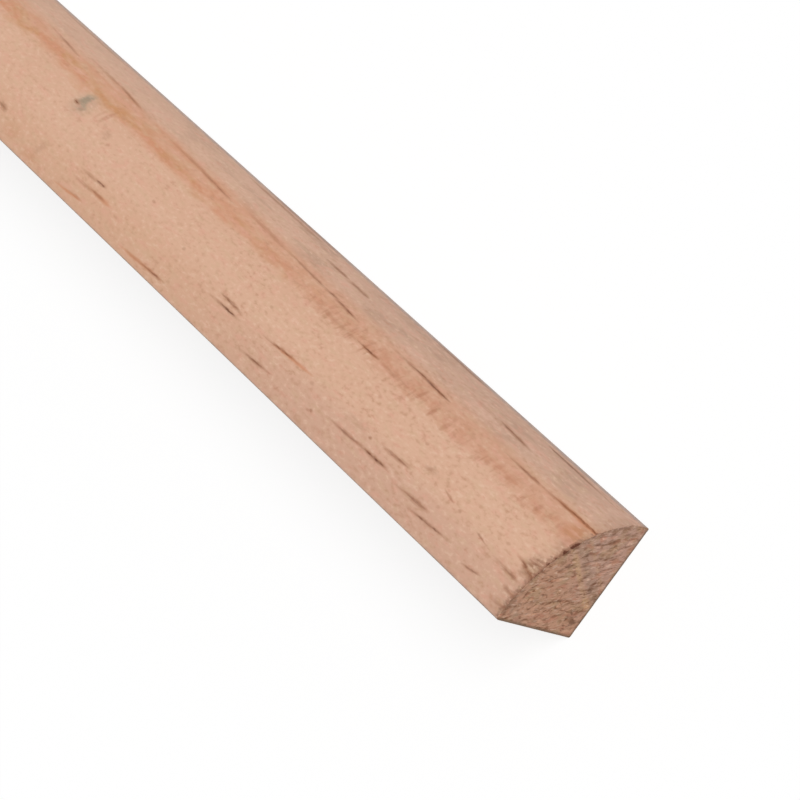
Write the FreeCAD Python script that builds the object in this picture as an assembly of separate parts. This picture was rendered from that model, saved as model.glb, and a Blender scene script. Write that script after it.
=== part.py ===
"""One length of quarter round moulding, planed from a single stick of clear softwood.

The section is a quadrant: two flat faces that meet at a right angle, and a quarter circle
struck from the corner where they meet. The moulding lies on one flat face, as it would be
set down on a floor, with the round to the front and the other flat face upright behind it.

Frame: X runs along the grain, Y to the back, Z up. The origin is in the middle of the
bottom face, half way along the length. All sizes are in millimetres.
"""

import FreeCAD
import Part

import os

# Driving dimensions
leg = 19.0  # width of each flat face, which is also the radius of the round
length = 2440.0  # one stock length, sawn square at both ends
arris_radius = 0.3  # the planer leaves each long edge just eased

# Places that follow from them
front = -leg / 2
back = leg / 2
left_end = -length / 2
half_root = 0.5**0.5  # cosine of 45 degrees, for the middle of the round


def point(y, z):
    """A point of the section, in the plane of the left end."""
    return FreeCAD.Vector(left_end, y, z)


def quadrant_section():
    """The sharp section: bottom face, back face, and the round struck from their corner."""
    corner = point(back, 0)
    toe = point(front, 0)
    crown = point(back, leg)
    middle_of_round = point(back - leg * half_root, leg * half_root)
    outline = [
        Part.LineSegment(toe, corner).toShape(),
        Part.LineSegment(corner, crown).toShape(),
        Part.Arc(crown, middle_of_round, toe).toShape(),
    ]
    return Part.Face(Part.Wire(outline))


def runs_full_length(edge):
    """True for the three long edges, which are the ones that the planer eases."""
    start, end = (vertex.Point for vertex in edge.Vertexes)
    return abs(abs(end.x - start.x) - length) < arris_radius


def moulding():
    """The section carried along the grain, with its three arrises eased."""
    stick = quadrant_section().extrude(FreeCAD.Vector(length, 0, 0))
    arrises = [edge for edge in stick.Edges if runs_full_length(edge)]
    return stick.makeFillet(arris_radius, arrises)


os.makedirs("parts", exist_ok=True)
moulding().exportStep("parts/quarter_round_moulding.step")
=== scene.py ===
"""The looks of one length of quarter round moulding: bare, planed pine with sawn ends."""

import math

import bpy
import numpy as np
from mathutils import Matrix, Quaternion, Vector


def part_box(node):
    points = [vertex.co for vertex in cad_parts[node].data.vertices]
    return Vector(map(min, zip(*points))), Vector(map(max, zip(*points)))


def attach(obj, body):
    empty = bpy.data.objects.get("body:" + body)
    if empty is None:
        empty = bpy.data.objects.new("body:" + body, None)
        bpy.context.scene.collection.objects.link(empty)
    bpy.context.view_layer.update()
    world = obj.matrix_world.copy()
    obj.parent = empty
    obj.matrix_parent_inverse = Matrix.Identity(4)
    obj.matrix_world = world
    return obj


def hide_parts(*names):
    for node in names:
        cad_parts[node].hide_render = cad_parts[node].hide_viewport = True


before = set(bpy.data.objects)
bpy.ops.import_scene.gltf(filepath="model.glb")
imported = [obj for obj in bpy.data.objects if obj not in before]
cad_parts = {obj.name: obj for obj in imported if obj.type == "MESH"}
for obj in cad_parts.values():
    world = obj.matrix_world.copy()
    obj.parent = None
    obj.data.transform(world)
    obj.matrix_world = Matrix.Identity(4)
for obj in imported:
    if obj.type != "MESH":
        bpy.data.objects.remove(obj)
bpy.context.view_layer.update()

# The moulding
# One stick of clear, fast-grown pine. Cutters plane the round and the two flat faces in one
# pass, and a coarse saw cuts the stick to length, which tears the fibres at both ends.

# Everything about the stick is in millimetres, and x is told from the end that shows.
mm = 0.001
node = "quarter_round_moulding"
low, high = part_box(node)
length = (high.x - low.x) / mm
back = high.y / mm
height = (high.z - low.z) / mm
arris = 0.3  # the radius that the cutters leave on each long edge
leg = math.hypot(height - arris, arris) + arris  # the sharp section's leg, and the round's radius
ease = math.degrees(math.asin(arris / (leg - arris)))  # what an arris takes off the round's sweep


def arc(centre, radius, start, stop, steps):
    """Points on an arc from start to stop degrees, and their normals, without the last point."""
    turn = np.radians(np.linspace(start, stop, steps, endpoint=False))
    normal = np.stack([np.cos(turn), np.sin(turn)], 1)
    return np.array(centre) + radius * normal, normal


def flat(start, stop, normal, steps):
    """Points on a straight line from start to stop, and their normals, without the last point."""
    share = np.linspace(0, 1, steps, endpoint=False)[:, None]
    points = np.array(start) + share * (np.array(stop) - np.array(start))
    return points, np.tile(np.array(normal, float), (steps, 1))


def outline():
    """The section's (y, z) points and outward normals, in order round it.

    From the hidden corner it runs along the bottom face, round the toe's arris, up the round,
    over the crown's arris, down the back face and round the hidden corner's arris. The round
    is an arc about the hidden corner, and each arris is an arc that touches its neighbours.
    """
    reach = math.sqrt((leg - arris) ** 2 - arris**2)  # from the hidden corner to an arris
    toe, crown = back - reach, reach
    runs = [
        flat((back - arris, 0), (toe, 0), (0, -1), 36),
        arc((toe, arris), arris, -90, -180 - ease, 12),
        arc((back, 0), leg, 180 - ease, 90 + ease, 132),
        arc((back - arris, crown), arris, 90 + ease, 0, 12),
        flat((back, crown), (back, arris), (1, 0), 36),
        arc((back - arris, arris), arris, 0, -90, 12),
    ]
    return [np.concatenate(part) for part in zip(*runs)]


section, section_normal = outline()
steps_round = np.linalg.norm(np.roll(section, -1, 0) - section, axis=1)
girth = np.concatenate([[0], np.cumsum(steps_round)[:-1]])
perimeter = steps_round.sum()


def rough(u, v, seed):
    """Smooth noise from -1 to 1 with one bump for each unit of u and v.

    Each whole-numbered place has a random height, and between four such places the heights
    are mixed by the smooth step 3t² - 2t³ along u and along v.
    """
    heights = np.random.default_rng(seed).uniform(-1, 1, (256, 256))
    u, v = np.broadcast_arrays(u, v)
    column, line = np.floor(u).astype(int), np.floor(v).astype(int)
    share_u, share_v = (t * t * (3 - 2 * t) for t in (u - column, v - line))
    here, right = (heights[(column + k) % 256, line % 256] for k in (0, 1))
    above, across = (heights[(column + k) % 256, (line + 1) % 256] for k in (0, 1))
    lower = here + (right - here) * share_u
    upper = above + (across - above) * share_u
    return lower + (upper - lower) * share_v


def ramp(value, start, stop):
    """0 before start and 1 past stop, by the smooth step between them."""
    t = np.clip((value - start) / (stop - start), 0, 1)
    return t * t * (3 - 2 * t)


# The saw's strokes run up the end at this angle from the floor, leaning to the back. They
# leave ridges and pits, and the cut grows clean as it nears the two flat faces.
stroke_angle = math.radians(73)
ridge_depth, pit_depth = 0.1, 0.14
clean_edge = 0.45
near_seed, far_seed = 41, 51  # what the marks at each end are drawn from


def saw_marks(y, z, seed):
    """How deep the sawn face lies below the cut's plane: ridges along the strokes, and pits.

    The places are turned so that a runs along the strokes and b across them. Long noise
    makes the ridges, short noise makes pits where it is high, and both are shifted so that
    nothing stands in front of the plane. Near the two flat faces they are shallow.
    """
    a = y * math.cos(stroke_angle) + z * math.sin(stroke_angle)
    b = z * math.cos(stroke_angle) - y * math.sin(stroke_angle)
    ridges = 0.5 + 0.3 * rough(a / 2.6, b / 0.9, seed) + 0.2 * rough(a / 1.1, b / 0.45, seed + 1)
    pits = ramp(rough(a / 1.3, b / 0.7, seed + 2), 0.3, 0.9)
    to_flat = np.minimum(z, back - y)
    depth = ridge_depth * ridges + pit_depth * pits
    return depth * (0.15 + 0.85 * ramp(to_flat, 0.0, clean_edge))


tear_depth = 0.24
tooth_width, long_tooth_width = 0.6, 1.7

# How badly the round's edge is torn at each end, as (down the round, share) stops. A share
# past 1 tears no deeper, but it fills the gaps between the teeth and is darker, as painted shade.
near_tear = [
    (0, 0.3),
    (1.5, 0.55),
    (3, 0.45),
    (4.5, 0.5),
    (6.3, 0.5),
    (7, 0.95),
    (8.6, 0.75),
    (10.2, 0.95),
    (12.2, 0.8),
    (12.8, 1.2),
    (13.5, 1.2),
    (14.0, 0.75),
    (14.4, 1.4),
    (15.5, 1.4),
    (16.2, 0.5),
    (18.7, 0.5),
    (20, 0.3),
    (26, 0.3),
    (29, 0.2),
]
far_tear = [
    (0, 0.2),
    (6, 0.3),
    (7, 0.5),
    (14, 0.4),
    (19, 0.45),
    (19.6, 0.9),
    (22, 0.9),
    (23, 0.4),
    (29, 0.3),
]


def torn_edge(inward, down_round, seed, tear):
    """How deep the round's edge is torn away at a sawn end, and the share that it is darkened by,
    as browned fibre and as painted shade in the tear.

    Both start from the tear's share at that place down the round, and fall to nothing
    inwards. Noise along the edge makes teeth and gaps between them, and the higher a tooth,
    the farther it reaches in. As the share nears 1 and passes it, the teeth grow short and
    the gaps fill up.
    """
    place = down_round + 0 * inward
    level = np.interp(place, *np.array(tear).T)
    teeth = ramp(rough(place / tooth_width, 0 * place, seed), -0.5, 0.7)
    teeth = np.maximum(teeth, np.clip(2 * level - 1.5, 0, 1))
    long_teeth = ramp(rough(place / long_tooth_width, 0 * place, seed + 1), -0.3, 0.8)
    short = ramp(level, 0.8, 1.1)
    reach = 0.25 + level * (0.15 + teeth * (0.3 + 0.9 * long_teeth)) * (1 - 0.38 * short)
    fall = 1 - np.clip(inward / reach, 0, 1)
    depth = tear_depth * np.minimum(level, 1) ** 3 * teeth * fall
    return depth, level * (0.55 + 0.45 * teeth) * fall


# The rings of vertices stand closest at the two ends, where the relief is, and close together
# on the stretch that is seen from near. Each stretch keeps every so many of the outline's points.
end_reach, seen_reach = 6, 180
near_fine = np.linspace(0, end_reach, 25)
seen = np.linspace(end_reach + 0.8, seen_reach, 218)
plain = np.linspace(seen_reach + 5, length - end_reach - 0.5, 450)
far_fine = length - np.linspace(end_reach, 0, 25)
stretches = [(near_fine, 1), (seen, 2), (plain, 4), (far_fine, 1)]

wave_depth = 0.02  # of the long shallow waves that the cutters leave
wave_length, wave_width = 90, 9


def skin(stations, stride):
    """The stick's long surface on a grid of stations by outline points, as x, y, z and the share of
    torn fibre and painted shade.

    Each point starts on the outline and moves in along its normal: by long shallow waves that
    the cutters leave, and at the ends by the torn depth. Near an end its x follows the saw.
    """
    x = stations[:, None]
    y, z = section[::stride].T[:, None, :]
    normal = section_normal[::stride].T[:, None, :]
    down_round = leg * np.arctan2(back - y, z)
    on_round = ramp(np.hypot(back - y, z), leg - 0.5, leg - 0.2)
    waves = wave_depth * (1 + rough(x / wave_length, girth[::stride] / wave_width, 5))
    near_torn, near_dark = torn_edge(x, down_round, 21, near_tear)
    far_torn, far_dark = torn_edge(length - x, down_round, 31, far_tear)
    depth = waves * ramp(x, 0, 20) + (near_torn + far_torn) * on_round
    # The dark share stands for browned torn fibre and for painted shade in the tear.
    torn_and_shade_share = (near_dark + far_dark) * on_round
    follow = 1 - ramp(x, 0, 1.5)
    follow_far = 1 - ramp(length - x, 0, 1.5)
    sawn_x = x + follow * saw_marks(y, z, near_seed) - follow_far * saw_marks(y, z, far_seed)
    places = np.stack([sawn_x, y - depth * normal[0], z - depth * normal[1]], -1)
    return places.reshape(-1, 3), torn_and_shade_share.ravel()


pole = np.array([back - 8, 8.0])  # the middle of a sawn end
cap_rings = 47  # the rings of vertices between a sawn end's rim and its pole


def sawn_end(rim, plane, inward, seed):
    """A sawn end on a grid of rings by outline points, from the rim to the pole.

    A point is the pole plus a share of the way out to the rim, and it lies behind the
    plane of the cut by the saw marks there.
    """
    share = np.linspace(1, 0, cap_rings + 2)[1:-1, None, None]
    inner = (pole + share * (rim[:, 1:] - pole)).reshape(-1, 2)
    inner = np.concatenate([inner, [pole]])
    depth = saw_marks(inner[:, 0], inner[:, 1], seed)
    return np.column_stack([plane + inward * depth, inner])


def wall(start, rings, size):
    """Four-sided faces between rings of equal size, of which start is the first vertex."""
    ring = start + size * np.arange(rings - 1)[:, None]
    step = np.arange(size)[None, :]
    after = (step + 1) % size
    corners = [ring + step, ring + size + step, ring + size + after, ring + after]
    return np.stack(corners, -1).reshape(-1, 4)


def bridge(fine, fine_size, coarse, coarse_size, turned):
    """Triangles from a ring to one with fewer points: two fans and a middle one per coarse side."""
    ratio = fine_size // coarse_size
    side = np.arange(coarse_size)
    here, after = coarse + side, coarse + (side + 1) % coarse_size
    point = [fine + (side * ratio + k) % fine_size for k in range(ratio + 1)]
    half = ratio // 2
    fans = [(point[k], here if k < half else after, point[k + 1]) for k in range(ratio)]
    fans.append((point[half], here, after))
    faces = np.concatenate([np.stack(fan, -1) for fan in fans])
    return faces[:, ::-1] if turned else faces


def closing(rim, size, start, rings):
    """The faces of a sawn end: four-sided between rings, and triangles round the pole."""
    faces = wall(start, rings, size)
    step, after = np.arange(size), (np.arange(size) + 1) % size
    first = np.stack([rim + step, start + step, start + after, rim + after], -1)
    last, middle = start + size * (rings - 1), start + size * rings
    tip = np.stack([last + step, np.full(size, middle), last + after], -1)
    return np.concatenate([first, faces]), tip


grids = [skin(stations, stride) for stations, stride in stretches]
sizes = [len(section) // stride for _, stride in stretches]
counts = [len(stations) for stations, _ in stretches]
starts = np.concatenate([[0], np.cumsum([c * s for c, s in zip(counts, sizes)])])
side_points = np.concatenate([places for places, _ in grids])
around = len(section)
near_rim, far_rim = 0, starts[4] - around
near_cap = sawn_end(side_points[:around], 0, 1, near_seed)
far_cap = sawn_end(side_points[far_rim:], length, -1, far_seed)
points = np.concatenate([side_points, near_cap, far_cap])

side_quads = np.concatenate([wall(starts[k], counts[k], sizes[k]) for k in range(4)])
last_rings = [starts[k + 1] - sizes[k] for k in range(4)]
side_triangles = np.concatenate(
    [
        bridge(last_rings[0], sizes[0], starts[1], sizes[1], False),
        bridge(last_rings[1], sizes[1], starts[2], sizes[2], False),
        bridge(starts[3], sizes[3], last_rings[2], sizes[2], True),
    ]
)
near_quads, near_tip = closing(near_rim, around, starts[4], cap_rings)
far_quads, far_tip = closing(far_rim, around, starts[4] + len(near_cap), cap_rings)
near_quads, near_tip = near_quads[:, ::-1], near_tip[:, ::-1]

# Where each vertex of the long surface lies on the flat: along the stick, and round it.
flat_x = np.concatenate([np.repeat(stations, len(section) // k) for stations, k in stretches])
flat_girth = np.concatenate([np.tile(girth[::k], len(stations)) for stations, k in stretches])

# The surface is cut into four long strips for a square map, with the seen stretch and the two
# ends at the largest scale. A strip is (bottom, height), as shares of the map's side.
strip_ends = flat_x[np.searchsorted(flat_x, np.linspace(seen_reach, length - 0.01, 4))]
strip_starts = np.concatenate([[0], strip_ends[:-1]])
strip_places = np.array([(0.005, 0.295), (0.305, 0.225), (0.535, 0.225), (0.765, 0.225)])
strip_widths = np.array([0.835, 0.99, 0.99, 0.99])
margin = 0.005  # between the map's left side and the strips
end_scale = 0.145 / leg  # of the sawn ends on the map, for each millimetre
near_corner, far_corner = (0.85, 0.005), (0.85, 0.155)  # where the sawn ends lie on the map


def strip_map(faces):
    """Places on the map for each corner: u along the stick within its strip, v round the stick."""
    x, around_it = flat_x[faces], flat_girth[faces]
    wraps = (around_it == 0) & (around_it.max(1, keepdims=True) > perimeter / 2)
    around_it = np.where(wraps, perimeter, around_it)
    strip = np.searchsorted(strip_ends, x.mean(1))[:, None]
    strip = np.minimum(strip, len(strip_ends) - 1)
    along = (x - strip_starts[strip]) / (strip_ends - strip_starts)[strip]
    u = margin + strip_widths[strip] * along
    v = strip_places[strip, 0] + strip_places[strip, 1] * around_it / perimeter
    return np.stack([u, v], -1).reshape(-1, 2)


def end_map(faces, corner):
    """Places on the map for each corner of a sawn end, seen square on, from this map corner."""
    y, z = points[faces][..., 1], points[faces][..., 2]
    return (np.array(corner) + end_scale * np.stack([y - back + leg, z], -1)).reshape(-1, 2)


def stick_mesh():
    """The whole stick as one closed mesh, with its map, its share of torn fibre and painted shade,
    and its sharp rims.
    """
    mesh = bpy.data.meshes.new(node)
    side = [side_quads, side_triangles]
    ends = [near_quads, near_tip, far_quads, far_tip]
    place = np.array([low.x, 0, low.z]) + points * mm
    mesh.from_pydata(place.tolist(), [], [f for part in side + ends for f in part.tolist()])
    places = [strip_map(part) for part in side]
    places += [end_map(part, near_corner) for part in ends[:2]]
    places += [end_map(part, far_corner) for part in ends[2:]]
    layout = mesh.uv_layers.new(name="OFBake")
    layout.uv.foreach_set("vector", np.concatenate(places).astype(np.float32).ravel())
    side_count = len(side_quads) + len(side_triangles)
    finish = np.zeros(len(mesh.polygons), np.int32)
    finish[side_count:] = 1
    mesh.polygons.foreach_set("material_index", finish)
    torn_and_shade = np.zeros(len(points), np.float32)
    torn_and_shade[: len(side_points)] = np.concatenate([share for _, share in grids])
    mesh.attributes.new("torn_and_shade", "FLOAT", "POINT").data.foreach_set("value", torn_and_shade)
    ends_of_edges = np.empty(len(mesh.edges) * 2, np.int32)
    mesh.edges.foreach_get("vertices", ends_of_edges)
    ends_of_edges = ends_of_edges.reshape(-1, 2)
    on_near = (ends_of_edges < around).all(1)
    on_far = ((ends_of_edges >= far_rim) & (ends_of_edges < starts[4])).all(1)
    sharp = mesh.attributes.new("sharp_edge", "BOOLEAN", "EDGE")
    sharp.data.foreach_set("value", on_near | on_far)
    mesh.update()
    mesh.validate()
    return mesh


def paint(red, green, blue):
    """A colour from its three screen values, 0 to 255, as the shader counts light."""
    share = np.array([red, green, blue]) / 255
    light = np.where(share <= 0.04045, share / 12.92, ((share + 0.055) / 1.055) ** 2.4)
    return (*light, 1.0)


class Recipe:
    """A finish that is written one step at a time. Most steps return their last node's output."""

    def __init__(self, tree):
        self.tree = tree

    def feed(self, socket, value):
        """Links a socket to an earlier step, or sets it to a number."""
        if isinstance(value, bpy.types.NodeSocket):
            self.tree.links.new(value, socket)
        else:
            socket.default_value = value

    def node(self, kind, settings=None, **inputs):
        """Adds a node with its settings, and its inputs by their names, and returns the node."""
        made = self.tree.nodes.new("ShaderNode" + kind)
        for name, value in (settings or {}).items():
            setattr(made, name, value)
        for name, value in inputs.items():
            self.feed(made.inputs[name.replace("_", " ")], value)
        return made

    def math(self, operation, *values, clamp=False):
        """One step of arithmetic."""
        made = self.tree.nodes.new("ShaderNodeMath")
        made.operation, made.use_clamp = operation, clamp
        for socket, value in zip(made.inputs, values):
            self.feed(socket, value)
        return made.outputs[0]

    def less(self, value, taken):
        """The first less the second."""
        return self.math("SUBTRACT", value, taken)

    def times(self, first, *others):
        """All of them multiplied."""
        for other in others:
            first = self.math("MULTIPLY", first, other)
        return first

    def times_plus(self, first, second, added):
        """The first two multiplied, and the third added."""
        return self.math("MULTIPLY_ADD", first, second, added)

    def largest(self, shares):
        """The largest of several shares."""
        found = shares[0]
        for share in shares[1:]:
            found = self.math("MAXIMUM", found, share)
        return found

    def fade(self, value, start, stop, first=0.0, last=1.0):
        """first before start, last past stop, and the smooth step between."""
        made = self.tree.nodes.new("ShaderNodeMapRange")
        made.interpolation_type = "SMOOTHSTEP"
        for socket, number in zip(made.inputs, (value, start, stop, first, last)):
            self.feed(socket, number)
        return made.outputs[0]

    def band(self, value, start, full, falling, stop, after=0.0):
        """0 before start, 1 from full to falling, after past stop, and smooth steps between."""
        rise = self.fade(value, start, full)
        return self.times(rise, self.fade(value, falling, stop, 1.0, after))

    def noise(self, places, size, detail=2.0):
        """Noise whose bumps are this long, wide and high, in millimetres."""
        across = self.node("VectorMath", {"operation": "DIVIDE"})
        self.feed(across.inputs[0], places)
        self.feed(across.inputs[1], size)
        made = self.node("TexNoise", Scale=1.0, Detail=detail)
        self.feed(made.inputs["Vector"], across.outputs[0])
        return made.outputs["Fac"]

    def sway(self, places, size, detail=2.0):
        """The same noise about 0, to move or bend things by."""
        return self.less(self.noise(places, size, detail), 0.5)

    def mix(self, share, first, second):
        """first where share is 0 and second where it is 1."""
        made = self.tree.nodes.new("ShaderNodeMix")
        made.data_type = "RGBA"
        self.feed(made.inputs["Factor"], share)
        self.feed(made.inputs[6], first)
        self.feed(made.inputs[7], second)
        return made.outputs[2]


def new_finish(name):
    """An empty finish of that name, and a recipe to fill it."""
    material = bpy.data.materials.new(name)
    material.use_nodes = True
    material.node_tree.nodes.clear()
    return material, Recipe(material.node_tree)


def new_group(name, numbers, shares):
    """An empty node group with those numbers in and shares out, and a recipe to fill it."""
    tree = bpy.data.node_groups.new(name, "ShaderNodeTree")
    for number in numbers:
        tree.interface.new_socket(number, in_out="INPUT", socket_type="NodeSocketFloat")
    for share in shares:
        tree.interface.new_socket(share, in_out="OUTPUT", socket_type="NodeSocketFloat")
    given = tree.nodes.new("NodeGroupInput").outputs
    results = tree.nodes.new("NodeGroupOutput").inputs
    return tree, Recipe(tree), given, results


def canal_group():
    """A resin canal that the cutters laid open: a thin dark core in a wider faint smear.

    Its depth rises evenly from one end to the dark stretch and falls evenly from there to
    the other end. Its middle line runs straight between two places on the round. The
    shallower it is, the narrower the smear, and the core shows only past 0.45 of the depth.
    """
    names = ["along", "round", "from", "dark from", "dark to", "to", "round from", "round to"]
    names += ["half width", "faint strength", "dark strength"]
    tree, step, given, results = new_group("resin canal", names, ["faint", "dark"])
    behind = step.less(given["along"], given["from"])
    ahead = step.less(given["to"], given["along"])
    rise = step.math("DIVIDE", behind, step.less(given["dark from"], given["from"]))
    fall = step.math("DIVIDE", ahead, step.less(given["to"], given["dark to"]))
    depth = step.math("MINIMUM", step.math("MINIMUM", rise, fall), 1.0, clamp=True)
    share = step.math("DIVIDE", behind, step.less(given["to"], given["from"]), clamp=True)
    shift = step.less(given["round to"], given["round from"])
    line = step.times_plus(share, shift, given["round from"])
    aside = step.math("ABSOLUTE", step.less(given["round"], line))
    wide = step.times(step.times_plus(depth, 0.6, 0.55), given["half width"])
    thin = step.times_plus(depth, 0.17, 0.03)
    faint = step.fade(step.math("DIVIDE", aside, wide), 0.1, 1.1, 1.0, 0.0)
    dark = step.fade(step.math("DIVIDE", aside, thin), 0.1, 1.1, 1.0, 0.0)
    faint = step.times(faint, step.math("POWER", depth, 0.6), given["faint strength"])
    dark = step.times(dark, step.fade(depth, 0.45, 1.0), given["dark strength"])
    step.feed(results["faint"], faint)
    step.feed(results["dark"], dark)
    return tree


def spot_group():
    """A soft-edged oval spot, from its middle and its two half widths."""
    names = ["along", "round", "middle", "round middle", "half length", "half width", "strength"]
    tree, step, given, results = new_group("spot", names, ["share"])
    x = step.math("DIVIDE", step.less(given["along"], given["middle"]), given["half length"])
    y = step.math("DIVIDE", step.less(given["round"], given["round middle"]), given["half width"])
    apart = step.math("SQRT", step.times_plus(x, x, step.times(y, y)))
    inside = step.fade(apart, 0.3, 1.15, 1.0, 0.0)
    step.feed(results["share"], step.times(inside, given["strength"]))
    return tree


canal, spot = canal_group(), spot_group()

# Resin canals that lie open on the seen stretch. Each is (from, dark from, dark to, to) along
# the stick, (round from, round to) down the round from the crown, the smear's half width, and
# how strong the smear and its dark core are. They are told from the crown to the toe.
brown_canals = [
    # On the pale wood
    (-0.5, 0.1, 0.9, 2.2, 7.1, 7.7, 0.5, 0.9, 0.6),
    (-0.4, 0.2, 1.2, 3.4, 1.85, 1.6, 0.42, 0.5, 0.15),
    (-0.4, 1.2, 1.9, 2.5, 3.6, 4.05, 0.42, 0.6, 0.2),
    (1.2, 1.9, 3.6, 7.0, 5.6, 5.85, 0.5, 0.75, 0.25),
    (1.6, 2.1, 2.6, 4.6, 7.8, 8.35, 0.45, 0.75, 0.35),
    (5.6, 7.0, 8.4, 9.8, 2.75, 2.15, 0.3, 0.6, 0.3),
    (7.6, 10.2, 10.7, 11.3, 6.05, 6.75, 0.22, 0.5, 0.2),
    (12.8, 16.4, 19.0, 22.6, 3.25, 2.6, 0.35, 0.75, 0.6),
    (17.0, 17.8, 18.6, 19.8, 7.4, 8.0, 0.22, 0.6, 0.0),
    (18.6, 20.1, 21.6, 26.8, 4.15, 3.75, 0.5, 0.8, 0.4),
    (25.6, 27.3, 29.8, 32.4, 6.8, 6.35, 0.4, 0.75, 0.3),
    (28.0, 30.1, 32.2, 36.0, 4.5, 4.3, 0.4, 0.9, 0.85),
    (32.0, 36.2, 38.7, 42.2, 4.4, 4.1, 0.4, 0.65, 0.3),
    (51.6, 54.6, 56.2, 60.4, 6.75, 6.2, 0.32, 0.75, 0.5),
    (54.0, 57.0, 58.5, 62.2, 2.9, 2.35, 0.35, 0.8, 0.4),
    (64.4, 67.1, 68.6, 73.0, 5.45, 5.25, 0.35, 0.65, 0.75),
    (65.2, 67.0, 70.0, 71.4, 6.35, 6.6, 0.35, 0.72, 0.5),
    (79.6, 81.8, 83.0, 90.2, 1.75, 1.3, 0.35, 0.6, 0.4),
    (98.8, 100.3, 102.0, 104.0, 4.4, 4.45, 0.35, 0.7, 0.15),
    (100.6, 101.5, 102.6, 104.0, 6.05, 5.95, 0.35, 0.7, 0.6),
    (101.5, 103.0, 104.6, 107.6, 4.3, 4.15, 0.4, 0.5, 0.0),
    (101.8, 103.5, 105.0, 107.6, 5.85, 5.8, 0.4, 0.6, 0.0),
    (102.6, 103.6, 104.6, 106.5, 2.05, 1.9, 0.25, 0.4, 0.0),
    (118.0, 118.8, 119.2, 119.9, 13.0, 13.1, 0.45, 1.0, 0.7),
    (126.5, 128.0, 129.0, 131.0, 4.3, 4.5, 0.45, 0.6, 0.2),
    # At the ring's outer edge
    (36.5, 39.0, 41.5, 44.0, 15.4, 15.3, 0.45, 0.3, 0.0),
    (44.0, 45.2, 47.2, 49.6, 15.5, 15.5, 0.38, 0.95, 0.6),
    (48.0, 51.0, 52.0, 61.0, 15.3, 15.6, 0.5, 0.3, 0.0),
    # Along the ring's inner line
    (-3.0, 0.3, 4.4, 8.0, 18.72, 18.72, 0.36, 0.95, 0.45),
    (2.5, 4.6, 6.6, 11.6, 18.75, 18.45, 0.45, 0.9, 0.35),
    (10.6, 12.3, 14.8, 20.0, 18.4, 18.55, 0.35, 0.75, 0.3),
    (31.6, 32.8, 35.4, 40.5, 18.5, 18.7, 0.42, 0.95, 0.75),
    (34.0, 36.0, 38.6, 45.5, 18.75, 18.9, 0.45, 0.85, 0.5),
    (52.2, 54.8, 56.7, 60.8, 18.1, 18.65, 0.4, 0.85, 0.5),
    (57.0, 59.0, 59.6, 63.0, 18.65, 18.65, 0.35, 0.8, 0.3),
    (60.4, 62.8, 66.4, 72.4, 18.6, 19.2, 0.4, 0.68, 0.2),
    (70.5, 74.0, 77.0, 82.0, 19.0, 19.65, 0.5, 0.5, 0.0),
    (84.2, 88.4, 93.0, 95.0, 18.85, 19.55, 0.4, 0.65, 0.2),
    (90.0, 93.0, 98.0, 103.5, 19.5, 19.85, 0.4, 0.5, 0.0),
    (111.8, 113.6, 117.8, 119.6, 20.55, 21.5, 0.4, 0.75, 0.2),
    (117.5, 120.0, 122.0, 128.0, 21.2, 21.7, 0.45, 0.5, 0.0),
    (128.4, 131.1, 133.5, 139.0, 19.9, 21.0, 0.4, 0.6, 0.15),
    # Towards the toe
    (4.0, 11.4, 18.2, 19.4, 26.7, 27.2, 0.5, 0.85, 0.55),
    (17.8, 20.6, 24.0, 26.0, 22.35, 23.0, 0.5, 0.95, 0.5),
    (24.0, 26.0, 29.0, 33.5, 22.7, 23.1, 0.7, 0.3, 0.0),
    (33.0, 36.0, 43.0, 47.0, 28.2, 28.5, 0.6, 0.8, 0.2),
    (56.8, 57.8, 60.6, 62.4, 23.7, 23.9, 0.5, 0.9, 0.3),
    (61.6, 63.0, 64.8, 68.5, 23.9, 24.0, 0.45, 0.9, 0.2),
    (67.0, 72.0, 84.0, 88.0, 28.8, 28.9, 0.7, 0.6, 0.0),
    (72.0, 76.0, 88.0, 92.0, 27.3, 27.5, 0.7, 0.7, 0.1),
    (125.0, 130.0, 140.0, 148.0, 27.8, 27.8, 0.5, 0.4, 0.2),
]
# Canals whose resin is still clear, so that they show orange. Their cores have no strength.
orange_canals = [
    (-3.0, 0.5, 4.6, 9.0, 18.6, 18.65, 0.5, 0.8, 0.0),
    (48.5, 51.2, 55.0, 58.0, 6.85, 6.3, 0.32, 0.7, 0.0),
    (80.0, 84.0, 88.5, 91.5, 1.75, 1.2, 0.35, 0.6, 0.0),
    (97.2, 98.6, 99.8, 104.0, 4.4, 4.4, 0.5, 0.65, 0.0),
    (102.5, 104.2, 106.4, 110.0, 2.0, 1.35, 0.28, 0.75, 0.0),
    (66.0, 70.0, 76.0, 84.0, 19.0, 19.6, 0.5, 0.15, 0.0),
    (84.0, 88.0, 101.0, 108.0, 19.1, 20.2, 0.6, 0.35, 0.0),
    (111.0, 114.0, 118.0, 124.0, 20.5, 21.4, 0.6, 0.35, 0.0),
]
# Dots of dark grain no larger than a pinhead: along the stick, down the round, and strength.
speck_size = (0.5, 0.33)  # half of their length and of their width
specks = [
    (6.5, 8.5, 0.35),
    (13.7, 3.2, 0.35),
    (15.5, 7.2, 0.4),
    (18.3, 5.55, 0.25),
    (23.6, 8.5, 0.35),
    (27.3, 11, 0.35),
    (34.2, 6.05, 0.6),
    (38.4, 11.3, 0.25),
    (44.9, 3.15, 0.6),
    (45.3, 2.9, 0.4),
    (47.8, 6, 0.3),
    (62.8, 10.1, 0.3),
    (92.6, 9.6, 0.4),
    (107.4, 11.15, 0.3),
    (81.7, 7.5, 0.4),
]
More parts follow.
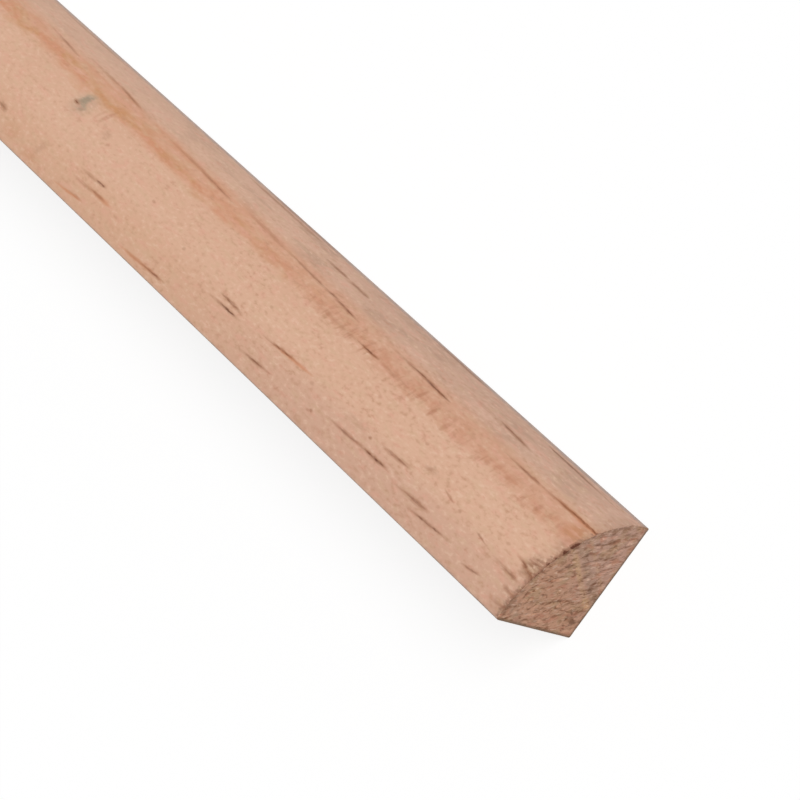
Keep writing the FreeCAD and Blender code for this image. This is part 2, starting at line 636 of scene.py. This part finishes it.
# Fibres that the cutters pressed over, in soft bars across the grain at the ring's edge: the
# bar's middle along the stick and down the round, its two half widths, and its strength.
pressed_bars = [
    (4.2, 15.5, 0.4, 1.2, 0.5),
    (8.4, 15.2, 0.55, 1.1, 0.9),
    (15.2, 15.4, 0.5, 0.9, 0.45),
    (19.2, 15.3, 0.5, 1.0, 0.45),
    (28.1, 14.7, 0.5, 1.3, 0.75),
    (31.4, 15.3, 0.45, 1.5, 1.1),
    (33.8, 15.2, 0.35, 1.2, 0.5),
    (35.0, 15.9, 0.45, 1.9, 0.9),
    (56.2, 15.2, 0.5, 1.3, 0.7),
    (112.7, 14.7, 0.55, 2.2, 0.7),
    (114.0, 14.2, 0.4, 1.8, 0.3),
]
# Orange stains of resin, told in the same way, as are the bruises and the smudge.
stains = [
    (2.0, 16.3, 2.0, 2.2, 0.85),
    (117, 1.6, 3, 1.2, 0.35),
    (123, 2.5, 2.5, 1.5, 0.3),
    (106, 18, 2, 1.4, 0.4),
    (98.5, 16.6, 3.4, 1.2, 0.4),
    (72, 15.8, 4, 1.5, 0.35),
]
# Brown bruises, the darkest of them beside the seen end.
bruises = [
    (1.4, 8.5, 1.9, 2.1, 1.0),
    (0.9, 13.6, 1.6, 1.9, 0.5),
    (127.9, 4.4, 1.5, 0.7, 0.4),
    (116.4, 3.6, 1.0, 1.6, 0.2),
    (109.4, 12.2, 1.3, 1.2, 0.22),
    (37.4, 6.3, 3.4, 0.9, 0.22),
    (23.4, 8.6, 1.5, 0.7, 0.35),
]
# One grey smudge, of three spots.
smudges = [
    (118.2, 14.4, 1.5, 2.1, 1.0),
    (117.5, 13.0, 1.5, 1.3, 0.85),
    (117.8, 13.6, 3.0, 3.2, 0.35),
]


def laid(step, tree, coordinates, numbers):
    """Lays one canal or spot at those coordinates by its numbers, and returns its shares."""
    made = step.tree.nodes.new("ShaderNodeGroup")
    made.node_tree = tree
    for socket, value in zip(made.inputs, (*coordinates, *numbers)):
        step.feed(socket, value)
    return made.outputs


def laid_canals(step, coordinates, canals):
    """The faint share and the dark share of several canals together."""
    outputs = [laid(step, canal, coordinates, numbers) for numbers in canals]
    return [step.largest([found[k] for found in outputs]) for k in (0, 1)]


def laid_spots(step, coordinates, spots):
    """The share of several spots together."""
    return step.largest([laid(step, spot, coordinates, numbers)[0] for numbers in spots])


def wood_places(step):
    """Places in millimetres, with x from the end that shows, and the three numbers apart."""
    place = step.node("TexCoord").outputs["Object"]
    made = step.node("Mapping", {"vector_type": "POINT"}, Vector=place)
    made.inputs["Scale"].default_value = (1 / mm,) * 3
    made.inputs["Location"].default_value = (-low.x / mm, 0, 0)
    apart = step.node("SeparateXYZ")
    step.feed(apart.inputs[0], made.outputs[0])
    return made.outputs[0], *apart.outputs


# The growth rings are so wide and so far from the pith that they are nearly flat sheets. They
# stand square to this direction of the section, and they run out of the stick 1 in 95.
ring_normal = (0.849, 0.529)
ring_width = 12.5
ring_at_end = 4.18  # where the darkest ring ends, along that direction, at the seen end
ring_slope = 1 / 95
ring_sway, sway_length = 1.0, 1500
ring_wander = 0.9


def ring_place(step, places, x, y, z):
    """How far a point lies inside the nearest ring's outer edge, and how far across the rings.

    The first is below zero outside that edge. The edge starts at ring_at_end and sinks along
    the stick by the slope and by one slow wave, sway times (1 - cos). Long, faint noise
    keeps it from being ruled.
    """
    across = step.times_plus(y, ring_normal[0], step.times(z, ring_normal[1]))
    turn = step.math("COSINE", step.times(x, 2 * math.pi / sway_length))
    edge = step.times_plus(x, -ring_slope, ring_at_end - ring_sway)
    edge = step.times_plus(turn, ring_sway, edge)
    edge = step.times_plus(step.sway(places, (24, 7, 7), 3.0), ring_wander, edge)
    inside = step.less(edge, across)
    return step.math("WRAP", inside, ring_width / 2, -ring_width / 2), across


# The net that the hidden canals stand in, and how it drifts across the section.
net_cell = 1.9
net_drift = 1 / 40


def hidden_canals(step, places, x, y, z):
    """Resin canals anywhere in the stick, as the faint and the dark share where they lie open.

    In the section they are thin dots, one to each cell of a random net. Along the stick
    the net drifts 1 in 40 against the surface, so that each dot is cut to a long streak.
    """
    drift = step.noise(places, (60, 40, 40), 1.0)
    drift = step.times_plus(drift, 3.0, step.times(x, net_drift))
    moved = step.node("CombineXYZ", X=step.math("ADD", y, drift), Y=step.math("ADD", z, drift))
    net = step.node("TexVoronoi", {"voronoi_dimensions": "2D"}, Scale=1 / net_cell)
    step.feed(net.inputs["Vector"], moved.outputs[0])
    apart = step.times(net.outputs["Distance"], net_cell)
    resin = step.fade(step.noise(places, (14, 1.5, 1.5), 2.0), 0.46, 0.6)
    faint = step.times(step.fade(apart, 0.08, 0.3, 1.0, 0.0), resin)
    dark = step.times(step.fade(apart, 0.04, 0.14, 0.8, 0.0), step.fade(resin, 0.4, 1.0))
    return faint, dark


def torn_colour_and_shade(step, places, colour):
    """The colour with brown torn fibres where the surface's torn share is high, and near black
    painted shade in the gaps under them where it is highest.
    """
    torn_and_shade = step.node("Attribute", {"attribute_name": "torn_and_shade"}).outputs["Fac"]
    ragged = step.sway(places, (0.6, 0.4, 0.4))
    torn_and_shade = step.times_plus(ragged, step.fade(torn_and_shade, 0.0, 0.3, 0.0, 1.3), torn_and_shade)
    # Brown torn fibre where the share is low, and near black painted shade in the gaps under the
    # fibres where it is high.
    colour = step.mix(step.fade(torn_and_shade, 0.1, 0.5, 0.0, 0.75), colour, paint(146, 102, 80))
    return step.mix(step.fade(torn_and_shade, 0.5, 1.0, 0.0, 0.95), colour, paint(84, 42, 24))


def from_corner(step, y, z):
    """How far a point lies in front of the back face, and from the hidden corner."""
    in_front = step.less(back, y)
    return in_front, step.math("SQRT", step.times_plus(z, z, step.times(in_front, in_front)))


def bare_wood(step, colour, relief, roughness, depth):
    """Ends a finish as uncoated wood, with relief that is so deep in millimetres."""
    shader = step.node("BsdfPrincipled", Roughness=roughness, Specular_IOR_Level=0.2)
    step.feed(shader.inputs["Base Color"], colour)
    bump = step.node("Bump", Strength=1.0, Distance=depth * mm, Height=relief)
    step.feed(shader.inputs["Normal"], bump.outputs[0])
    surface = step.node("OutputMaterial")
    step.feed(surface.inputs["Surface"], shader.outputs[0])


def planed_pine():
    """Pine off the cutters: pale spring wood, orange summer wood, resin canals and fine fibre."""
    material, step = new_finish("planed pine")
    places, x, y, z = wood_places(step)
    ring, across = ring_place(step, places, x, y, z)
    in_front, outward = from_corner(step, y, z)
    down = step.times(step.math("ARCTAN2", in_front, z), leg)
    on_round = step.fade(outward, leg - 0.8, leg - 0.5)
    on_seen = step.times(on_round, step.fade(x, 150, 175, 1.0, 0.0))

    # The pale wood, rosier on the crown side near the seen end and duller towards the toe.
    cloud = step.noise(places, (16, 4, 4), 3.0)
    colour = step.mix(step.fade(cloud, 0.38, 0.64), paint(219, 176, 149), paint(217, 173, 146))
    crown_side = step.times(step.fade(down, 4, 8.5, 1.0, 0.0), on_round)
    crown_colour = step.mix(step.fade(x, 40, 90), paint(211, 168, 144), paint(216, 171, 142))
    colour = step.mix(crown_side, colour, crown_colour)
    toe_side = step.times(step.fade(down, 18, 21.5), on_round)
    toe_colour = step.mix(step.fade(x, 50, 80), paint(208, 168, 145), paint(216, 175, 150))
    colour = step.mix(toe_side, colour, toe_colour)

    patches = step.noise(places, (8, 2.7, 2.7), 3.0)
    toe_side = step.times(toe_side, step.fade(x, 60, 150, 1.0, 0.4))
    dull = step.times(toe_side, step.fade(patches, 0.5, 0.32, 0.0, 0.5))
    colour = step.mix(dull, colour, paint(180, 144, 122))
    rosy = step.times(toe_side, step.fade(patches, 0.52, 0.68, 0.0, 0.5))
    colour = step.mix(rosy, colour, paint(222, 178, 156))

    # Summer wood: sharp at the ring's outer edge, fading inwards, mottled on the first 60 mm.
    # Farther along, patches near that edge turn from salmon to ochre.
    uneven = step.times_plus(step.sway(places, (5, 2.2, 2.2), 3.0), 3.4, ring)
    summer = step.band(uneven, -1.2, 0.9, 1.1, 2.8, 0.62)
    summer = step.times(summer, step.fade(ring, 3.5, 5.8, 1.0, 0.0))
    other_ring = step.times(step.fade(across, 7, 11), step.fade(x, 160, 260, 1.0, 0.15))
    main_ring = step.less(1.0, other_ring)
    settled = step.fade(x, 60, 92)
    mottle = step.fade(step.noise(places, (2.4, 1.1, 1.1), 3.0), 0.34, 0.64, 0.55, 1.1)
    streaky = step.fade(step.noise(places, (4, 1.3, 1.3), 3.0), 0.34, 0.62, 0.6, 1.12)
    patchy = step.times_plus(step.less(streaky, mottle), settled, mottle)
    summer = step.times(summer, main_ring, step.fade(settled, 0, 1, 0.85, 1.0), patchy)
    ochre = step.fade(step.noise(places, (6, 2.6, 2.6), 3.0), 0.5, 0.6)
    ochre = step.times(ochre, step.fade(x, 40, 90), step.fade(uneven, 3.8, 1.6))
    summer_colour = step.mix(step.fade(x, 50, 85), paint(202, 145, 116), paint(208, 147, 114))
    summer_colour = step.mix(ochre, summer_colour, paint(202, 147, 106))
    colour = step.mix(step.times(summer, 0.95), colour, summer_colour)

    # The bars of pressed fibre with painted glints of light between them, and then the stains,
    # bruises and smudge, which wander a little with the fibre, as the canals do.
    stray = step.sway(places, (3.5, 1.5, 1.5))
    fine_stray = step.sway(places, (0.8, 0.4, 0.4), 1.0)
    stray_x = step.math("ADD", stray, x)
    stray_down = step.times_plus(fine_stray, step.fade(x, 2, 6, 0.4, 0.2), down)
    stray_down = step.times_plus(stray, 0.25, stray_down)
    opened = (stray_x, stray_down)
    bars = laid_spots(step, (x, down), pressed_bars)
    chatter = step.noise(places, (0.75, 2.6, 2.6), 2.0)
    near_edge = step.band(ring, -1.6, 0.0, 1.0, 3.2)
    near_edge = step.times(near_edge, step.fade(x, 45, 75, 1.0, 0.15), main_ring, on_round)
    pressed_stretch = step.fade(step.noise(places, (6, 9, 9), 1.0), 0.42, 0.56, 0.4, 1.0)
    loose_bars = step.times(step.fade(chatter, 0.52, 0.68), near_edge, pressed_stretch)
    bars = step.times(step.math("MAXIMUM", bars, step.times(loose_bars, 0.8)), on_round)
    colour = step.mix(step.times(bars, 0.7), colour, paint(176, 120, 90))
    # Painted glints: light flecks between the pressed bars that stand in for light caught by the
    # fibre.
    painted_glints = step.times(step.fade(chatter, 0.46, 0.32), near_edge, pressed_stretch, 0.45)
    colour = step.mix(painted_glints, colour, paint(230, 184, 156))
    stain = laid_spots(step, opened, stains)
    colour = step.mix(stain, colour, paint(199, 141, 104))
    loose_x = step.times_plus(stray, 2.0, x)
    loose_down = step.times_plus(fine_stray, 1.4, down)
    bruise = laid_spots(step, (loose_x, loose_down), bruises)
    comb = step.fade(step.noise(places, (1.8, 0.5, 0.5), 3.0), 0.34, 0.62, 0.5, 1.1)
    colour = step.mix(step.times(bruise, comb, on_round), colour, paint(154, 112, 88))
    smudge = laid_spots(step, (loose_x, stray_down), smudges)
    colour = step.mix(step.times(smudge, on_round, 0.9), colour, paint(155, 140, 119))

    # Beside a cut the saw frays the wood, which browns it, least towards the toe. A faint brown
    # reaches farther in, and between the frayed fibres a painted highlight stands for raised fibres
    # that catch the light.
    to_end = step.math("MINIMUM", x, step.less(length, x))
    frayed = step.times_plus(step.math("ADD", stray, fine_stray), 1.3, to_end)
    frayed = step.times(step.fade(frayed, 0.15, 1.1, 0.92, 0.0), step.fade(down, 16, 18, 1.0, 0.35))
    frayed = step.math("MAXIMUM", frayed, step.fade(to_end, 1.0, 3.6, 0.16, 0.0))
    colour = step.mix(frayed, colour, paint(150, 113, 92))
    # Painted highlight on raised fibres near the cut.
    raised_fibre_highlight = step.times(step.fade(fine_stray, 0.0, 0.14), step.fade(to_end, 0.4, 2.5, 0.3, 0.0))
    raised_fibre_highlight = step.times(raised_fibre_highlight, step.band(down, 6.5, 8.0, 10.5, 12.5, 0.2))
    colour = step.mix(raised_fibre_highlight, colour, paint(230, 200, 172))

    # The grain's own fine marks, and a darker grey along the toe's and crown's edges.
    blush = step.noise(places, (2.2, 1.0, 1.0), 2.0)
    colour = step.mix(step.fade(blush, 0.52, 0.72, 0.0, 0.42), colour, paint(220, 164, 142))
    colour = step.mix(step.fade(blush, 0.48, 0.28, 0.0, 0.35), colour, paint(208, 173, 140))
    fibre = step.noise(places, (2.6, 0.35, 0.35), 3.0)
    grit = step.noise(places, (1.0, 0.6, 0.6), 3.0)
    marked = step.fade(step.noise(places, (7, 2.6, 2.6), 2.0), 0.36, 0.62, 0.55, 1.1)
    marked = step.times(marked, step.fade(x, 50, 120, 1.0, 0.65), step.fade(down, 20, 24, 1.0, 0.8))
    flecks = step.noise(places, (1.1, 0.5, 0.5), 2.0)
    dark_grit = step.times(step.fade(grit, 0.5, 0.75, 0.0, 0.48), marked)
    colour = step.mix(dark_grit, colour, paint(182, 132, 102))
    light_grit = step.fade(grit, 0.47, 0.26, 0.0, 0.52)
    light_grit = step.times(light_grit, step.fade(summer, 0.0, 0.8, 1.0, 0.4))
    light_grit = step.times(light_grit, step.fade(x, 50, 110, 1.0, 0.85))
    light_fibre = paint(230, 194, 168)
    colour = step.mix(light_grit, colour, light_fibre)
    flecked = step.times(step.fade(flecks, 0.6, 0.76, 0.0, 0.25), marked)
    colour = step.mix(flecked, colour, paint(186, 126, 98))
    colour = step.mix(step.fade(fibre, 0.52, 0.75, 0.0, 0.14), colour, light_fibre)
    by_crown = step.fade(down, 0.5, 0.1, 0.0, 0.5)
    grey_edges = step.math("MAXIMUM", step.fade(down, 27.8, 28.9), by_crown)
    grey_edges = step.times(grey_edges, on_round, step.fade(grit, 0.3, 0.7, 0.35, 0.75))
    colour = step.mix(grey_edges, colour, paint(164, 154, 150))

    # Over everything, the canals and dots: those of the seen stretch, and others elsewhere.
    strands = step.fade(step.noise(places, (1.8, 0.22, 0.22), 2.0), 0.34, 0.6, 0.55, 1.1)
    beads = step.fade(step.noise(places, (1.4, 0.4, 0.4), 2.0), 0.34, 0.58, 0.35, 1.1)
    reddish, _ = laid_canals(step, opened, orange_canals)
    faint, dark = laid_canals(step, opened, brown_canals)
    hidden_faint, hidden_dark = hidden_canals(step, places, x, y, z)
    hidden = step.less(1.0, on_seen)
    dots = laid_spots(step, opened, [(*at, *speck_size, strength) for *at, strength in specks])
    faint = step.largest([step.times(faint, strands, on_round), step.times(hidden_faint, hidden)])
    dark = step.largest([step.times(dark, beads, on_round), step.times(hidden_dark, hidden)])
    faint = step.math("MAXIMUM", faint, step.times(dots, on_round, 1.1))
    dark = step.math("MAXIMUM", dark, step.times(step.fade(dots, 0.5, 1.1), on_round))
    colour = step.mix(step.times(reddish, on_round), colour, paint(203, 136, 99))
    colour = step.mix(step.times(faint, 0.72), colour, paint(150, 95, 62))
    colour = step.mix(step.times(dark, 0.95), colour, paint(84, 34, 8))

    colour = torn_colour_and_shade(step, places, colour)
    relief = step.times_plus(fibre, 0.3, step.times(grit, 0.8))
    bare_wood(step, colour, relief, roughness=0.62, depth=0.03)
    return material


# Dark holes where the saw pulled fibre out of the seen end: y and z, two half widths, strength.
pulled_holes = [
    (-0.75, 11.6, 0.5, 1.1, 0.6),
    (8.2, 18.4, 0.9, 0.7, 0.3),
    (6.3, 18.2, 1.0, 0.6, 0.35),
    (4.5, 17.7, 0.8, 0.6, 0.3),
    (1.9, 3.2, 0.6, 0.8, 0.6),
    (5.8, 3.6, 0.8, 0.7, 0.7),
    (7.0, 2.0, 0.9, 1.1, 0.75),
    (-7.5, 3.2, 0.6, 0.8, 0.3),
    (-2.4, 14.3, 0.6, 0.5, 0.6),
    (-3.8, 13.0, 0.8, 0.7, 0.65),
    (4.75, 16.2, 0.4, 0.6, 0.4),
    (6.5, 16.2, 0.4, 0.6, 0.3),
    (-3.1, 9.3, 0.5, 0.6, 0.5),
    (-6.0, 5.5, 0.5, 0.8, 0.35),
    (2.4, 7.6, 0.6, 0.6, 0.3),
]


def sawn_pine():
    """Pine across the grain as a coarse saw leaves it: fuzzy brown strokes over faint rings."""
    material, step = new_finish("sawn pine")
    places, x, y, z = wood_places(step)
    ring, across = ring_place(step, places, x, y, z)
    bent = step.times_plus(step.sway(places, (9, 3, 3)), 1.6, y)
    strokes = step.node("CombineXYZ", X=x, Y=bent, Z=z).outputs[0]
    turned = step.node("Mapping", {"vector_type": "POINT"}, Vector=strokes)
    turned.inputs["Rotation"].default_value = (math.pi / 2 - stroke_angle, 0, 0)
    strokes = turned.outputs[0]  # z now runs along the saw's strokes, and they bend a little

    # Warm towards the back and cooler inside the ring's edge, in soft blotches.
    blotch = step.noise(places, (9, 2.4, 2.4), 2.0)
    warmth = step.times_plus(step.less(blotch, 0.5), 7.0, across)
    colour = step.mix(step.fade(warmth, 1.0, 9), paint(195, 155, 136), paint(200, 153, 126))
    khaki = step.fade(step.noise(places, (9, 3.0, 3.0), 1.0), 0.5, 0.64, 0.0, 0.7)
    colour = step.mix(khaki, colour, paint(184, 148, 116))
    rusty = step.fade(step.noise(strokes, (9, 1.1, 2.0), 3.0), 0.5, 0.66, 0.0, 0.7)
    colour = step.mix(rusty, colour, paint(188, 130, 106))
    dull = step.fade(step.noise(strokes, (9, 1.1, 1.7), 3.0), 0.46, 0.32, 0.0, 0.6)
    colour = step.mix(dull, colour, paint(146, 106, 78))
    cool = step.times(step.band(ring, 0.4, 0.9, 1.6, 2.6), 0.35)
    colour = step.mix(cool, colour, paint(162, 136, 118))
    line = step.band(ring, -0.8, -0.3, 0.1, 0.5)
    inner_line = step.times(step.band(ring, 2.3, 2.7, 2.9, 3.3), 0.5)
    broken = step.fade(blotch, 0.4, 0.55, 0.4, 0.9)
    main_ring = step.fade(across, 7, 10, 1.0, 0.0)
    line = step.times(step.math("MAXIMUM", line, inner_line), broken, main_ring)
    colour = step.mix(step.times(line, 0.7), colour, paint(208, 168, 128))

    # The strokes, finer and finer, then the holes, a darker grey-brown rim along the two flat
    # faces, and frayed fibre by the round's edge.
    calm = step.fade(y, -7, 5, 0.75, 1.1)
    long_strokes = step.noise(strokes, (9, 0.85, 2.6), 3.0)
    short_strokes = step.noise(strokes, (9, 0.5, 1.2), 3.0)
    hairs = step.noise(strokes, (9, 0.22, 1.3), 2.0)
    gouged = step.times(step.fade(long_strokes, 0.48, 0.28, 0.0, 0.75), calm)
    colour = step.mix(gouged, colour, paint(118, 74, 44))
    nicked = step.times(step.fade(short_strokes, 0.45, 0.3, 0.0, 0.65), calm)
    colour = step.mix(nicked, colour, paint(116, 72, 42))
    colour = step.mix(step.fade(short_strokes, 0.55, 0.7, 0.0, 0.65), colour, paint(216, 182, 160))
    colour = step.mix(step.fade(hairs, 0.56, 0.74, 0.0, 0.45), colour, paint(222, 188, 164))
    colour = step.mix(step.fade(hairs, 0.44, 0.26, 0.0, 0.5), colour, paint(112, 70, 42))
    stray = step.sway(strokes, (9, 0.6, 1.2))
    stray_places = [step.times_plus(stray, 1.8, place) for place in (y, z)]
    holes = laid_spots(step, stray_places, pulled_holes)
    holes = step.times(holes, step.fade(x, 2, 5, 1.0, 0.0))
    colour = step.mix(holes, colour, paint(100, 66, 42))
    in_front, outward = from_corner(step, y, z)
    to_flat = step.math("MINIMUM", z, in_front)
    # A darker grey-brown rim along the edges by the two flat faces.
    colour = step.mix(step.fade(to_flat, 0.12, 0.55, 0.7, 0.0), colour, paint(98, 82, 66))
    frayed = step.fade(step.noise(places, (9, 0.7, 0.7), 2.0), 0.42, 0.6, 0.0, 0.6)
    frayed = step.times(frayed, step.fade(outward, leg - 0.9, leg - 0.1))
    colour = step.mix(frayed, colour, paint(136, 100, 78))
    colour = torn_colour_and_shade(step, places, colour)

    relief = step.math("ADD", long_strokes, short_strokes)
    bare_wood(step, colour, relief, roughness=0.85, depth=0.09)
    return material


stick = bpy.data.objects.new("pine_stick", stick_mesh())
bpy.context.scene.collection.objects.link(stick)
stick.data.materials.append(planed_pine())
stick.data.materials.append(sawn_pine())
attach(stick, "root")
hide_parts(node)

# The floor
# A wide white studio floor that the stick lies on. What the camera sees of it is mostly a
# white glow, and the rest is matt paint, which takes the stick's soft shadow.
floor_half = 40.0
floor_grey, white = (0.6, 0.6, 0.6, 1), (1, 1, 1, 1)
glow, glow_share = 1.03, 0.8
floor_gap = 0.02 * mm  # keeps it from touching the stick's bottom face
floor_mesh = bpy.data.meshes.new("floor")
corners = [(sx * floor_half, sy * floor_half, 0) for sx, sy in ((-1, -1), (1, -1), (1, 1), (-1, 1))]
floor_mesh.from_pydata(corners, [], [(0, 1, 2, 3)])
floor = bpy.data.objects.new("floor", floor_mesh)
floor.location.z = -floor_gap
bpy.context.scene.collection.objects.link(floor)


def seen_share(step):
    """1 for what is seen straight, mirrored or through glass, and 0 for light on its way."""
    path = step.node("LightPath").outputs
    return step.largest([path["Is Camera Ray"], path["Is Glossy Ray"], path["Is Transmission Ray"]])


def white_floor():
    """Matt pale paint, mixed with plain white where the camera looks."""
    material, step = new_finish("white floor")
    looked_at = seen_share(step)
    coat = step.node("BsdfDiffuse", Color=step.mix(looked_at, floor_grey, white))
    light = step.node("Emission", Color=white, Strength=glow)
    both = step.node("MixShader")
    step.feed(both.inputs[0], step.times(looked_at, glow_share))
    step.feed(both.inputs[1], coat.outputs[0])
    step.feed(both.inputs[2], light.outputs[0])
    surface = step.node("OutputMaterial")
    step.feed(surface.inputs["Surface"], both.outputs[0])
    return material


floor.data.materials.append(white_floor())

# The light
# One broad soft lamp high on the side of the seen end, leaning to the round, and an even
# white sky about it. Together they light a face turned to the lamp at a strength of about 1.
sky_level = 0.315
lamp_level = 0.705
lamp_from = np.array([-0.45, -0.405, 0.796])

world = bpy.data.worlds.new("white room")
bpy.context.scene.world = world
world.use_nodes = True
world.node_tree.nodes.clear()
step = Recipe(world.node_tree)
level = step.fade(seen_share(step), 0.0, 1.0, sky_level, 1.0)
sky = step.node("Background", Color=white, Strength=level)
out = step.node("OutputWorld")
step.feed(out.inputs["Surface"], sky.outputs[0])

lamp_data = bpy.data.lights.new("soft lamp", "SUN")
lamp_data.energy = lamp_level * math.pi
lamp_data.angle = math.radians(35)
lamp = bpy.data.objects.new("soft lamp", lamp_data)
lamp.rotation_mode = "QUATERNION"


def facing(direction):
    """The turn that points an object's own -Z along a direction, with its Y up."""
    return Vector(direction).to_track_quat("-Z", "Y")


lamp.rotation_quaternion = facing(-lamp_from)
bpy.context.scene.collection.objects.link(lamp)

# The camera
# It looks down on the seen end from beyond it, turned so that the stick runs up to the left.
# Its place and the point that it looks at are told from the middle of that end's bottom edge.
eye = np.array([-185.90, -80.03, 336.38]) * mm
aim = np.array([35.86, -2.61, 15.0]) * mm
roll = math.radians(70.65)
focal_length = 127.94

camera_data = bpy.data.cameras.new("camera")
camera_data.lens = focal_length
camera_data.sensor_width = 36
camera_data.clip_start, camera_data.clip_end = 0.01, 200
camera = bpy.data.objects.new("camera", camera_data)
camera.rotation_mode = "QUATERNION"
camera.location = np.array([low.x, 0, low.z]) + eye
camera.rotation_quaternion = Quaternion(Vector(aim - eye).normalized(), roll) @ facing(aim - eye)
bpy.context.scene.collection.objects.link(camera)
bpy.context.scene.camera = camera
bpy.context.scene.view_settings.view_transform = "Standard"
